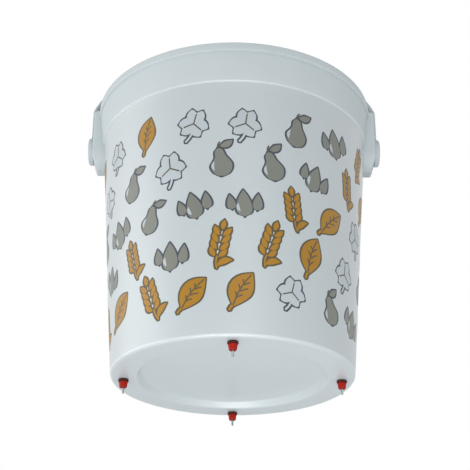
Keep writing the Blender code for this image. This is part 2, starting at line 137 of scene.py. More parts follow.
def roundedProfile(corners, arcSteps=6):
    # each (x, z, radius) corner becomes an arc that touches both of its sides
    found = []
    for index, (x, z, radius) in enumerate(corners):
        here = np.array((x, z))
        if radius == 0 or index in (0, len(corners) - 1):
            found.append(here[None])
            continue
        before = np.array(corners[index - 1][:2]) - here
        after = np.array(corners[index + 1][:2]) - here
        before /= np.linalg.norm(before)
        after /= np.linalg.norm(after)
        half = math.acos(float(np.clip(before @ after, -1, 1))) / 2
        middle = here + (before + after) / np.linalg.norm(before + after) * radius / math.sin(half)
        start = here + before * radius / math.tan(half) - middle
        end = here + after * radius / math.tan(half) - middle
        sweep = math.pi - 2 * half
        share = np.linspace(0, 1, arcSteps + 1)[:, None]
        arc = start * np.sin((1 - share) * sweep) + end * np.sin(share * sweep)
        found.append(middle + arc / math.sin(sweep))
    return np.vstack(found)


def denser(profile, longest):
    # splits the profile's long stretches evenly, so that no step is longer than this
    found = [profile[:1]]
    for start, end in zip(profile, profile[1:]):
        parts = max(1, math.ceil(np.linalg.norm(end - start) / longest))
        share = np.linspace(0, 1, parts + 1)[1:, None]
        found.append(start + (end - start) * share)
    return np.vstack(found)


# Shader groups

def addNode(tree, kind, **values):
    node = tree.nodes.new(kind)
    for key, value in values.items():
        if key in node.inputs:
            node.inputs[key].default_value = value
        else:
            setattr(node, key, value)
    return node


def setInputs(node, values):
    for label, value in values.items():
        node.inputs[label].default_value = value


def mathNode(tree, operation, first, second=None, clamp=False):
    node = tree.nodes.new("ShaderNodeMath")
    node.operation = operation
    node.use_clamp = clamp
    for slot, value in zip(node.inputs, (first, second)):
        if value is None:
            continue
        if isinstance(value, (int, float)):
            slot.default_value = value
        else:
            tree.links.new(value, slot)
    return node.outputs[0]


def newGroup(name, inputs, outputs):
    group = bpy.data.node_groups.new(name, "ShaderNodeTree")
    kinds = {"value": "NodeSocketFloat", "color": "NodeSocketColor", "vector": "NodeSocketVector"}
    for label, kind, default in inputs:
        socket = group.interface.new_socket(label, in_out="INPUT", socket_type=kinds[kind])
        if default is not None:
            socket.default_value = default
    for label, kind in outputs:
        group.interface.new_socket(label, in_out="OUTPUT", socket_type=kinds[kind])
    return group, group.nodes.new("NodeGroupInput"), group.nodes.new("NodeGroupOutput")


def mouldedGroup():
    # moulded plastic: a faint cloud in its colour, fine grain and long shallow waves in its surface,
    # and dust that settles on what faces up
    group, given, made = newGroup(
        "mouldedSurface",
        [
            ("Color", "color", (0.8, 0.8, 0.8, 1)),
            ("Roughness", "value", 0.4),
            ("Cloud", "value", 0.04),
            ("Grain size", "value", 900.0),
            ("Grain depth", "value", 0.3),
            ("Wave depth", "value", 0.3),
            ("Dust", "value", 0.1),
        ],
        [("Color", "color"), ("Roughness", "value"), ("Height", "value")],
    )
    link = group.links.new
    where = addNode(group, "ShaderNodeTexCoord").outputs["Object"]
    cloud = addNode(group, "ShaderNodeTexNoise", Scale=14.0, Detail=4.0, Roughness=0.6)
    grain = addNode(group, "ShaderNodeTexNoise", Detail=2.0)
    wave = addNode(group, "ShaderNodeTexNoise", Scale=22.0, Detail=1.0)
    for node in (cloud, grain, wave):
        link(where, node.inputs["Vector"])
    link(given.outputs["Grain size"], grain.inputs["Scale"])
    centred = mathNode(group, "SUBTRACT", cloud.outputs["Fac"], 0.5)
    shade = mathNode(group, "MULTIPLY", centred, given.outputs["Cloud"])
    facing = addNode(group, "ShaderNodeSeparateXYZ")
    link(addNode(group, "ShaderNodeNewGeometry").outputs["Normal"], facing.inputs[0])
    upward = mathNode(group, "MAXIMUM", facing.outputs["Z"], 0.0)
    settled = mathNode(group, "POWER", upward, 2.0, True)
    settled = mathNode(group, "MULTIPLY", settled, given.outputs["Dust"])
    dusted = mathNode(group, "MULTIPLY", settled, cloud.outputs["Fac"], True)
    brighter = addNode(group, "ShaderNodeHueSaturation")
    link(given.outputs["Color"], brighter.inputs["Color"])
    link(mathNode(group, "ADD", mathNode(group, "MULTIPLY", shade, 2.0), 1.0), brighter.inputs["Value"])
    dust = addNode(group, "ShaderNodeMix", data_type="RGBA")
    link(dusted, dust.inputs[0])
    link(brighter.outputs["Color"], dust.inputs[6])
    dust.inputs[7].default_value = (0.42, 0.37, 0.3, 1)
    link(dust.outputs[2], made.inputs["Color"])
    rough = mathNode(group, "ADD", given.outputs["Roughness"], shade)
    rough = mathNode(group, "ADD", rough, mathNode(group, "MULTIPLY", dusted, 0.5), True)
    link(rough, made.inputs["Roughness"])
    fine = mathNode(group, "MULTIPLY", grain.outputs["Fac"], given.outputs["Grain depth"])
    long = mathNode(group, "MULTIPLY", wave.outputs["Fac"], given.outputs["Wave depth"])
    link(mathNode(group, "ADD", fine, long), made.inputs["Height"])
    return group


def scratchGroup():
    # handling marks: thin stretched noise lines, as a mask and a height
    group, given, made = newGroup(
        "fineScratches",
        [("Amount", "value", 0.3), ("Scale", "value", 60.0), ("Stretch", "vector", (1.0, 1.0, 0.06))],
        [("Mask", "value"), ("Height", "value")],
    )
    link = group.links.new
    where = addNode(group, "ShaderNodeTexCoord").outputs["Object"]
    stretched = addNode(group, "ShaderNodeVectorMath", operation="MULTIPLY")
    link(where, stretched.inputs[0])
    link(given.outputs["Stretch"], stretched.inputs[1])
    noise = addNode(group, "ShaderNodeTexNoise", Detail=6.0, Roughness=0.75)
    link(stretched.outputs[0], noise.inputs["Vector"])
    link(given.outputs["Scale"], noise.inputs["Scale"])
    ridge = mathNode(group, "ABSOLUTE", mathNode(group, "SUBTRACT", noise.outputs["Fac"], 0.5))
    line = mathNode(group, "SUBTRACT", 1.0, mathNode(group, "MULTIPLY", ridge, 60.0), True)
    mask = mathNode(group, "MULTIPLY", line, given.outputs["Amount"])
    link(mask, made.inputs["Mask"])
    link(mathNode(group, "MULTIPLY", mask, -1.0), made.inputs["Height"])
    return group


moulded = mouldedGroup()
scratches = scratchGroup()


def newMaterial(name):
    material = bpy.data.materials.new(name)
    material.use_nodes = True
    return material, material.node_tree, material.node_tree.nodes["Principled BSDF"]


def plasticMaterial(name, color, roughness, cloud=0.04, grainSize=900.0, grainDepth=0.25, waveDepth=0.25,
                    dust=0.1, scratch=0.0, coat=0.0, coatRoughness=0.3, specular=0.5, bumpDistance=0.00004,
                    metallic=0.0, stretch=(1, 1, 0.06)):
    # the moulded surface and the scratches feed colour, roughness and bump; what is even all over is
    # set on the shader itself
    material, tree, shader = newMaterial(name)
    setInputs(shader, {"Metallic": metallic, "Coat Weight": coat, "Coat Roughness": coatRoughness,
                       "Specular IOR Level": specular})
    surface = addNode(tree, "ShaderNodeGroup", node_tree=moulded)
    setInputs(surface, {"Color": (*color, 1), "Roughness": roughness, "Cloud": cloud, "Dust": dust,
                        "Grain size": grainSize, "Grain depth": grainDepth, "Wave depth": waveDepth})
    marks = addNode(tree, "ShaderNodeGroup", node_tree=scratches)
    setInputs(marks, {"Amount": scratch, "Stretch": stretch})
    tree.links.new(surface.outputs["Color"], shader.inputs["Base Color"])
    rough = mathNode(tree, "ADD", surface.outputs["Roughness"], marks.outputs["Mask"], True)
    tree.links.new(rough, shader.inputs["Roughness"])
    bump = addNode(tree, "ShaderNodeBump", Strength=0.6, Distance=bumpDistance)
    height = mathNode(tree, "ADD", surface.outputs["Height"], marks.outputs["Height"])
    tree.links.new(height, bump.inputs["Height"])
    tree.links.new(bump.outputs["Normal"], shader.inputs["Normal"])
    return material


def dress(piece, material, body, slot, *nodes):
    # a piece's material, the body it rides on, its slot (not used) and the nodes it stands for
    piece.data.materials.clear()
    piece.data.materials.append(material)
    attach(piece, body)
    if nodes:
        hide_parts(*nodes)
    return piece


whiteMoulded = plasticMaterial("whiteMoulded", (0.555, 0.61, 0.62), 0.5, scratch=0.05, specular=0.35)
# the print film: greyer than the bare moulding, partly its own tone and partly painted shade that darkens
# the whole printed wall; its coat gives real gloss
wallFilmPaintedShade = plasticMaterial("wallFilmPaintedShade", (0.475, 0.525, 0.535), 0.5, cloud=0.02, grainDepth=0.1, coat=1.0,
                           coatRoughness=0.4, specular=0.8, scratch=0.04)
# the underside and the collar's lower edge: the same moulding as whiteMoulded, painted paler as painted
# light from below; coat and roughness give them real gloss
baseGlossPaintedLight = plasticMaterial("baseGlossPaintedLight", (0.60, 0.66, 0.675), 0.36, cloud=0.03, grainDepth=0.15, coat=0.8,
                            coatRoughness=0.36, specular=1.0, scratch=0.06)
handleMoulded = plasticMaterial("handleMoulded", (0.51, 0.565, 0.585), 0.5, scratch=0.06, specular=0.35)
nippleRed = plasticMaterial("nippleRed", (0.36, 0.011, 0.003), 0.38, cloud=0.1, dust=0.01, specular=0.15)
nutRed = plasticMaterial("nutRed", (0.33, 0.014, 0.006), 0.45, cloud=0.1, dust=0.02, specular=0.25)
sealRubber = plasticMaterial("sealRubber", (0.07, 0.014, 0.012), 0.62, cloud=0.2, grainDepth=0.6, dust=0.03,
                             specular=0.2)
strainerWhite = plasticMaterial("strainerWhite", (0.74, 0.75, 0.74), 0.45)
turnedSteel = plasticMaterial(
    "turnedSteel", (0.40, 0.41, 0.40), 0.3, cloud=0.15, grainSize=400, dust=0.0, scratch=0.35,
    metallic=1.0, bumpDistance=0.00001, stretch=(0.05, 0.05, 6.0))

# The bucket

bucket = {
    "baseRadius": 0.135,
    "wallFlare": 0.022,
    "wallHeight": 0.288,
    "wall": 0.0022,
    "floor": 0.0025,
    "cornerRadius": 0.0035,
    "ringWidth": 0.0295,
    "recessDepth": 0.008,
    "recessSlope": 0.0045,
    "collarStep": 0.0016,
    "collarFlare": 0.0037,
    "collarHeight": 0.034,
    "grooveHeight": 0.003,
    "beadProud": 0.0021,
    "beadWidth": 0.0034,
    "nippleInset": 0.0145,
    "nippleHole": 0.0043,
    "patchReach": (0.009, 0.005, 0.0, -0.005, -0.009),
    "patchSteps": 5,
    "grooveStep": 0.0002,
    "insideBends": {"panel": 0.003, "slope": 0.002, "floor": 0.003, "shoulder": 0.004, "collar": 0.002},
    "rimBends": {"inner": 0.0006, "top": 0.0016, "bead": 0.0013, "step": 0.0002, "groove": 0.0015},
    "outsideBends": {"collar": 0.0014, "wallTop": 0.0004, "slope": 0.0022, "panel": 0.0032},
    "profileStep": 0.012,
    "filmGap": 0.0006,
    "collarEdge": 0.0016,
    "steep": 0.3,
    "downward": 0.02,
    "panelGap": 0.0005,
    "steps": 320,
}
wallTopRadius = bucket["baseRadius"] + bucket["wallFlare"]
collarRadius = wallTopRadius + bucket["collarStep"]
collarTopRadius = collarRadius + bucket["collarFlare"]
beadRadius = collarTopRadius + bucket["beadProud"]
collarZ = baseZ + bucket["wallHeight"]
grooveZ = collarZ + bucket["collarHeight"]
beadZ = grooveZ + bucket["grooveHeight"]
panelZ = baseZ + bucket["recessDepth"]
floorZ = baseZ + bucket["floor"]
recessRadius = bucket["baseRadius"] - bucket["ringWidth"]
nippleCircle = bucket["baseRadius"] - bucket["nippleInset"]


def wallRadius(z):
    # the wall is a straight taper from the base to the collar
    return bucket["baseRadius"] + bucket["wallFlare"] * (z - baseZ) / bucket["wallHeight"]


def bucketProfile():
    # half of the bucket's section: from the middle of the floor up the inside, over the rim, down the
    # outside and back to the middle of the underside; each corner is rounded by its bend
    b = bucket
    inside, rim, outside = b["insideBends"], b["rimBends"], b["outsideBends"]
    plateau = recessRadius - b["recessSlope"] + b["floor"] / 2
    flat = [nippleCircle + reach for reach in b["patchReach"]]
    corners = [
        (0.0, panelZ + b["floor"], 0),
        (plateau, panelZ + b["floor"], inside["panel"]),
        (plateau + b["recessSlope"], floorZ, inside["slope"]),
        *((radius, floorZ, 0) for radius in reversed(flat)),
        (b["baseRadius"] - b["wall"], floorZ, inside["floor"]),
        (wallTopRadius - b["wall"], collarZ, inside["shoulder"]),
        (collarRadius - b["wall"], collarZ + b["wall"], inside["collar"]),
        (beadRadius - b["beadWidth"], rimZ, rim["inner"]),
        (beadRadius, rimZ, rim["top"]),
        (beadRadius, beadZ, rim["bead"]),
        (collarTopRadius - b["grooveStep"], beadZ, rim["step"]),
        (collarTopRadius, grooveZ, rim["groove"]),
        (collarRadius, collarZ, outside["collar"]),
        (wallTopRadius, collarZ, outside["wallTop"]),
        (b["baseRadius"], baseZ, b["cornerRadius"]),
        *((radius, baseZ, 0) for radius in flat),
        (recessRadius, baseZ, outside["slope"]),
        (recessRadius - b["recessSlope"], panelZ, outside["panel"]),
        (0.0, panelZ, 0),
    ]
    return denser(roundedProfile(corners), b["profileStep"])


def bucketSkin(name):
    # the profile is turned into rings of points, and each nipple's hole takes the place of a window of
    # quads in the floor's two flats: the window's rim is joined to the hole's circle, and the two
    # circles to each other. The hole's points are numbered by angle from the circle of nipples outward
    b = bucket
    profile, steps, side = bucketProfile(), b["steps"], b["patchSteps"]
    angle = np.linspace(0, 2 * np.pi, steps, endpoint=False)
    rings = profile[1:-1]
    points = [np.stack((rings[:, :1] * np.cos(angle), rings[:, :1] * np.sin(angle),
                        rings[:, 1:] * np.ones(steps)), axis=-1).reshape(-1, 3)]
    points.append(np.array([(0, 0, profile[0, 1]), (0, 0, profile[-1, 1])]))
    quads, *caps = cappedGrid(len(rings), steps)
    quads = quads.reshape(len(rings) - 1, steps, 4)
    keep = np.ones(quads.shape[:2], bool)
    last = len(b["patchReach"]) - 1
    starts = ((nippleCircle + b["patchReach"][-1], floorZ), (nippleCircle + b["patchReach"][0], baseZ))
    rows = [int(np.argmin(np.hypot(rings[:, 0] - radius, rings[:, 1] - z))) for radius, z in starts]
    count = 2 * last + 4 * side
    shifts = (count * 5 // 14, count * 6 // 7)  # from the circle's first point to the rim's first corner
    turn = 2 * np.pi * np.arange(count) / count
    faces = []
    for hole in range(4):
        column = steps * hole // 4
        window = (column + np.arange(-side, side)) % steps
        across = (column + np.arange(-side, side + 1)) % steps
        around = angle[column] + turn
        circles = []
        for row, z in zip(rows, (floorZ, baseZ)):
            keep[row:row + last, window] = False
            down = row + np.arange(last + 1)
            rim = np.concatenate((down * steps + across[0], down[-1] * steps + across[1:],
                                  down[-2::-1] * steps + across[-1], row * steps + across[-2:0:-1]))
            start = sum(len(part) for part in points)
            ring = np.stack((nippleCircle * math.cos(angle[column]) + b["nippleHole"] * np.cos(around),
                             nippleCircle * math.sin(angle[column]) + b["nippleHole"] * np.sin(around),
                             np.full(count, z)), axis=-1)
            points.append(ring)
            k = np.arange(count)
            order = (k - shifts[0]) if z == floorZ else (shifts[1] - k)
            circle = start + order % count
            faces.append(np.stack((rim, np.roll(rim, -1), np.roll(circle, -1), circle), axis=-1))
            circles.append(start + k)
        top, bottom = circles
        faces.append(np.stack((top, np.roll(top, -1), np.roll(bottom, -1), bottom), axis=-1))
    return meshFromArrays(name, np.vstack(points), [quads[keep], *faces, *caps])


shell = bucketSkin("bucket_shell_skin")
dress(shell, whiteMoulded, "bucket", "bucket", "bucket_shell")
shell.data.materials.append(wallFilmPaintedShade)
shell.data.materials.append(baseGlossPaintedLight)
middles = np.array([(*polygon.center,) for polygon in shell.data.polygons])
normals = np.array([(*polygon.normal,) for polygon in shell.data.polygons])
outward = np.einsum("ij,ij->i", middles[:, :2], normals[:, :2]) > 0
level = middles[:, 2]
onWall = outward & (level > baseZ + bucket["cornerRadius"]) & (level < collarZ - bucket["filmGap"])
onWall &= np.abs(normals[:, 2]) < bucket["steep"]
# the underside's faces and a band at the collar's lower edge take the paler base material: painted light
# from below, and on the collar's edge a painted highlight line besides the real gloss
onBasePaintedLight = (normals[:, 2] < bucket["downward"]) & (level < panelZ + bucket["panelGap"]) & ~onWall
onBasePaintedLight |= outward & (np.abs(level - collarZ) < bucket["collarEdge"]) & ~onWall
shell.data.polygons.foreach_set("material_index", (onWall + 2 * onBasePaintedLight).astype(np.int32))
print("bucket shell:", len(shell.data.polygons), "faces")

# The ears

ear = {
    "reach": 0.005,
    "width": 0.044,
    "drop": 0.029,
    "footWidth": 0.012,
    "taperHeight": 0.014,
    "taperDepth": 0.0045,
    "pivotDrop": 0.0462,
    "edge": 0.0018,
    "topGap": 0.0003,
    "footBend": 0.002,
    "faceBend": 0.006,
    "topBend": 0.0045,
    "root": 0.14,
    "rowStep": 0.0012,
    "arcSteps": 10,
    "pointsAcross": {"corner": 7, "side": 8, "face": 12, "back": 18},
    "socketRadius": 0.0043,
    "socketDepth": 0.0098,
    "windowHeight": 0.007,
    "windowColumns": (16, 21),
}
pivotZ = rimZ - ear["pivotDrop"]
earFace = beadRadius + ear["reach"]


def midWallRadius(z):
    # the middle of the bucket's wall, from the tapered wall up through the collar and the bead
    low = wallRadius(z) - bucket["wall"] / 2
    flare = bucket["collarFlare"] * (z - collarZ) / bucket["collarHeight"]
    high = np.minimum(collarRadius - bucket["wall"] / 2 + flare, beadRadius - bucket["beadWidth"] / 2)
    return np.where(z < collarZ + bucket["wall"], low, high)


def earPiece(name, side):
    # level sections stacked from the foot up: each has a seat on the middle of the wall, two flat
    # sides, two round corners and a flat face; the sections narrow to a round foot by a circle's chord,
    # and the face has a round socket
    lowZ = pivotZ - ear["drop"]
    highZ = rimZ - ear["topGap"]
    corners = [
        (ear["root"], lowZ, 0),
        (earFace - ear["taperDepth"], lowZ, ear["footBend"]),
        (earFace, lowZ + ear["taperHeight"], ear["faceBend"]),
        (earFace, highZ, ear["topBend"]),
        (ear["root"], highZ, 0),
    ]
    outline = denser(roundedProfile(corners, ear["arcSteps"])[1:-1], ear["rowStep"])
    face, z = outline[:, 0], outline[:, 1]
    half, narrow = ear["width"] / 2, ear["footWidth"] / 2
    middleZ = lowZ + math.sqrt(half**2 - narrow**2)
    wide = np.sqrt(half**2 - np.clip(middleZ - z, 0, None) ** 2)
    near = np.clip(z - (highZ - ear["edge"]), 0, ear["edge"]) / ear["edge"]
    wide = wide - ear["edge"] * (1 - np.sqrt(1 - near**2))
    e, count = ear["edge"], ear["pointsAcross"]
    turn = np.linspace(0, np.pi / 2, count["corner"])
    seatX = lambda y: np.sqrt(midWallRadius(z)[:, None] ** 2 - y**2)
    sideShare = np.linspace(0, 1, count["side"])[None, :-1]
    sideY = wide[:, None] * np.ones_like(sideShare)
    sideX = seatX(sideY) * (1 - sideShare) + (face[:, None] - e) * sideShare
    cornerX = face[:, None] - e + e * np.sin(turn)[None, :]
    cornerY = wide[:, None] - e + e * np.cos(turn)[None, :]
    faceShare = np.linspace(1, -1, count["face"])[None, 1:-1]
    faceY = (wide[:, None] - e) * faceShare
    faceX = face[:, None] * np.ones_like(faceShare)
    backY = wide[:, None] * np.linspace(-1, 1, count["back"])[None, 1:-1]
    x = np.hstack((sideX, cornerX, faceX, cornerX[:, ::-1], sideX[:, ::-1], seatX(backY)))
    y = np.hstack((sideY, cornerY, faceY, -cornerY[:, ::-1], -sideY[:, ::-1], backY))
    rows, columns = x.shape
    points = np.stack((x * side, y, z[:, None] * np.ones_like(x)), axis=-1).reshape(-1, 3)
    points = np.vstack((points, points[:columns].mean(axis=0), points[-columns:].mean(axis=0)))
    quads, *faces = cappedGrid(rows, columns)
    # the pivot's socket takes the place of a window of quads in the face: the window's rim is joined
    # to a circle, each point at its own angle, then the circle to the one at the socket's end
    quads = quads.reshape(rows - 1, columns, 4)
    inWindow = np.flatnonzero(np.abs(z - pivotZ) < ear["windowHeight"])
    low, high = inWindow[0], inWindow[-1]
    near, far = ear["windowColumns"]
    keep = np.ones(quads.shape[:2], bool)
    keep[low:high, near:far] = False
    rim = np.concatenate((
        low * columns + np.arange(near, far), np.arange(low, high) * columns + far,
        high * columns + np.arange(far, near, -1), np.arange(high, low, -1) * columns + near))
    turn = np.arctan2(points[rim, 2] - pivotZ, points[rim, 1])
    ring = np.stack((np.full(len(rim), earFace * side), ear["socketRadius"] * np.cos(turn),
                     pivotZ + ear["socketRadius"] * np.sin(turn)), axis=-1)
    inward = np.array((ear["socketDepth"] * side, 0, 0))
    mouth = len(points) + np.arange(len(rim))
    end = mouth + len(rim)
    points = np.vstack((points, ring, ring - inward, (earFace * side - inward[0], 0, pivotZ)))
    for outer, inner in ((rim, mouth), (mouth, end)):
        faces.append(np.stack((np.roll(outer, -1), outer, inner, np.roll(inner, -1)), axis=-1))
    faces.append(capFaces(end[::-1], len(points) - 1))
    return meshFromArrays(name, points, [quads[keep], *faces])


for label, side in (("right", 1), ("left", -1)):
    dress(earPiece(f"ear_{label}", side), whiteMoulded, "bucket", "bucket")
print("ears made")

# The handle

handle = {
    "strapWidth": 0.018,
    "strapThickness": 0.003,
    "hubRadius": 0.0165,
    "hubThickness": 0.006,
    "gripWidth": 0.026,
    "gripThickness": 0.010,
    "gripLength": 0.100,
    "gripFlat": 0.030,
    "rise": 0.100,
    "shoulderRise": 0.006,
    "archPull": 0.125,
    "pivotRadius": 0.004,
    "pivotLength": 0.0095,
    "ribDepth": 0.0006,
    "ribPitch": 0.0045,
    "ribStart": 0.018,
    "ribEnd": 0.047,
    "ribFades": (0.003, 0.004),
    "edgeShare": 0.3,
    "earGap": 0.0003,
    "hubBends": {"tip": 0.0008, "root": 0.0004, "back": 0.0006, "face": 0.0025},
    "hubGroove": (0.62, 0.58, 0.50, 0.46),
    "hubGrooveDepth": 0.0006,
    "hubGrooveBends": (0.0006, 0.0004),
    "sharp": 50.0,
    "step": 0.0007,
    "cornerPoints": 9,
    "flatPoints": 8,
    "hubSteps": 96,
    "hubProfileStep": 0.003,
}
strapX = earFace + handle["earGap"] + handle["strapThickness"] / 2
shoulderZ = pivotZ + math.hypot(ear["width"] / 2, ear["pivotDrop"])
gripZ = rimZ + handle["rise"]


def smoothstep(value):
    # 3 t squared - 2 t cubed, between 0 and 1
    value = np.clip(value, 0, 1)
    return value * value * (3 - 2 * value)


def handlePath():
    # straight up from the pivot, a cubic Bezier over the rim and level along the grip, then mirrored;
    # spaced evenly along its length
    t = np.linspace(0, 1, 200)[:, None]
    pulls = np.array([
        (strapX, shoulderZ),
        (strapX, shoulderZ + handle["shoulderRise"]),
        (handle["archPull"], gripZ),
        (handle["gripFlat"] / 2, gripZ),
    ])
    curve = (1 - t) ** 3 * pulls[0] + 3 * (1 - t) ** 2 * t * pulls[1]
    curve = curve + 3 * (1 - t) * t**2 * pulls[2] + t**3 * pulls[3]
    half = np.vstack(([(strapX, pivotZ)], curve, [(0.0, gripZ)]))
    whole = np.vstack((half, half[-2::-1] * (-1, 1)))
    run = np.concatenate(([0], np.cumsum(np.linalg.norm(np.diff(whole, axis=0), axis=1))))
    even = np.linspace(0, run[-1], math.ceil(run[-1] / handle["step"]) + 1)
    return np.stack((np.interp(even, run, whole[:, 0]), np.interp(even, run, whole[:, 1])), axis=1)


def handleArch(name):
    # a rounded rectangle carried along the path; it widens and thickens into the grip. Beside the flat
    # middle of the grip its underside has ribs across it, as high as the sine of the way along
    path = handlePath()
    ahead = np.gradient(path, axis=0)
    ahead /= np.linalg.norm(ahead, axis=1)[:, None]
    outward = np.stack((ahead[:, 1], -ahead[:, 0]), axis=1)
    far = np.abs(path[:, 0])
    share = smoothstep((handle["gripLength"] / 2 + handle["gripWidth"] - far) / handle["gripWidth"])
    width = handle["strapWidth"] + (handle["gripWidth"] - handle["strapWidth"]) * share
    thick = handle["strapThickness"] + (handle["gripThickness"] - handle["strapThickness"]) * share
    bend = handle["edgeShare"] * thick
    quarter = np.linspace(0, np.pi / 2, handle["cornerPoints"])
    flats = np.linspace(-1, 1, handle["flatPoints"])[1:-1]
    across, depth = [], []
    for sx, sz in ((1, 1), (-1, 1), (-1, -1), (1, -1)):
        turn = quarter if sx * sz > 0 else quarter[::-1]
        across.append(sx * (width[:, None] / 2 - bend[:, None] * (1 - np.cos(turn))))
        depth.append(sz * (thick[:, None] / 2 - bend[:, None] * (1 - np.sin(turn))))
        if sx * sz > 0:
            across.append(-sx * flats[None, :] * (width / 2 - bend)[:, None])
            depth.append(sz * thick[:, None] / 2 * np.ones_like(flats))
    across, depth = np.hstack(across), np.hstack(depth)
    fadeIn, fadeOut = handle["ribFades"]
    start = far - handle["ribStart"]
    ribbed = smoothstep(start / fadeIn) * smoothstep((handle["ribEnd"] - far) / fadeOut)
    wave = np.sin(np.pi * start / handle["ribPitch"]) ** 2 * ribbed * handle["ribDepth"]
    inner = smoothstep(-depth / (thick[:, None] / 2) * 1.6 - 0.5)  # 1 on the underside
    depth = depth - wave[:, None] * inner * smoothstep((width[:, None] / 2 - np.abs(across)) / fadeIn)
    x = path[:, None, 0] + outward[:, None, 0] * depth
    z = path[:, None, 1] + outward[:, None, 1] * depth
    points = np.stack((x, across, z), axis=-1)
    rows, columns = x.shape
    flat = points.reshape(-1, 3)
    flat = np.vstack((flat, flat[:columns].mean(axis=0), flat[-columns:].mean(axis=0)))
    return meshFromArrays(name, flat, cappedGrid(rows, columns), handle["sharp"])


def hubPiece(name, side):
    # a disc turned about X: a flat back on the ear's side, a domed face with a ring groove, and the pin
    h = handle
    back = strapX - h["strapThickness"] / 2
    face = back + h["hubThickness"]
    tip = earFace - h["pivotLength"]
    grooved = face - h["hubGrooveDepth"]
    bends, (lipBend, footBend) = h["hubBends"], h["hubGrooveBends"]
    outer, outerFoot, innerFoot, inner = (share * h["hubRadius"] for share in h["hubGroove"])
    corners = [
        (0.0, tip, 0),
        (h["pivotRadius"], tip, bends["tip"]),
        (h["pivotRadius"], back, bends["root"]),
        (h["hubRadius"], back, bends["back"]),
        (h["hubRadius"], face, bends["face"]),
        (outer, face, lipBend),
        (outerFoot, grooved, footBend),
        (innerFoot, grooved, footBend),
        (inner, face, lipBend),
        (0.0, face, 0),
    ]
    outline = denser(roundedProfile(corners), h["hubProfileStep"])
    angle = np.linspace(0, 2 * np.pi, h["hubSteps"], endpoint=False)
    r = outline[1:-1, 0, None]
    x = outline[1:-1, 1, None] * np.ones_like(angle)[None, :]
    y = r * np.cos(angle)
    z = pivotZ + r * np.sin(angle)
    rows, columns = x.shape
    points = np.stack((x * side, y, z), axis=-1).reshape(-1, 3)
    poles = [(outline[0, 1] * side, 0, pivotZ), (outline[-1, 1] * side, 0, pivotZ)]
    return meshFromArrays(name, np.vstack((points, poles)), cappedGrid(rows, columns))


dress(handleArch("handle_arch"), handleMoulded, "handle", "handle", "handle")
for label, side in (("right", 1), ("left", -1)):
    dress(hubPiece(f"handle_hub_{label}", side), handleMoulded, "handle", "handle")
print("handle made")

# The nipples

nipple = {
    "bore": 0.003,
    "stem": 0.004,
    "shoulder": 0.005,
    "tip": 0.0041,
    "bottom": 0.0070,
    "top": 0.0135,
    "stemTop": 0.0258,
    "lip": 0.0007,
    "threadPitch": 0.00125,
    "threadDepth": 0.00035,
    "mouthStep": 0.0006,
    "seatHole": 0.0017,
    "seatLow": 0.01545,
    "seatHigh": 0.01665,
    "seatRim": 0.01705,
    "threadEnd": 0.0006,
    "threadFade": 0.0004,
    "threadCrest": 1.25,
    "onStem": 0.0001,
    "collarHeight": 0.0012,
    "coneTop": (-0.0003, -0.0016),
    "coneBulge": (0.0001, 0.0009),
    "coneFoot": -0.0004,
    "bends": {"stem": 0.0004, "shoulder": 0.0005, "collar": 0.0003, "coneTop": 0.0002, "bulge": 0.0008,
              "foot": 0.0004},
    "arcSteps": 5,
    "profileStep": 0.00025,
    "steps": 96,
}
seal = {"inner": 0.0043, "outer": 0.0058, "low": 0.0137, "high": 0.0165, "join": 0.0150,
        "bends": (0.0002, 0.0011, 0.0011, 0.0002), "arcSteps": 6, "steps": 96}
nut = {"flat": 0.0071, "low": 0.0194, "high": 0.0244, "play": 0.0002, "boreChamfer": 0.0004,
       "faceShare": 0.93, "coneShare": 0.965, "coneSlope": 1.7, "coneBand": 0.0007, "sideEnd": 0.0008,
       "outsideShare": 0.95, "sharp": 20, "steps": 144}
bush = {"inner": 0.0020, "outer": 0.0028, "low": 0.0079, "high": 0.0109, "join": 0.0094,
        "bends": (0.0003, 0.0002, 0.0002, 0.0001), "arcSteps": 4, "steps": 64}
pin = {"head": 0.0025, "headZ": 0.012714, "shank": 0.0013, "stud": 0.0008, "studTop": 0.016014,
       "studFace": 0.0006, "studEdge": 0.0158, "groove": (0.0029, 0.0027, 0.0024, 0.0022),
       "grooveDepth": 0.00015, "steps": 64}
ball = {"radius": 0.0024, "z": 0.018614, "steps": 64}


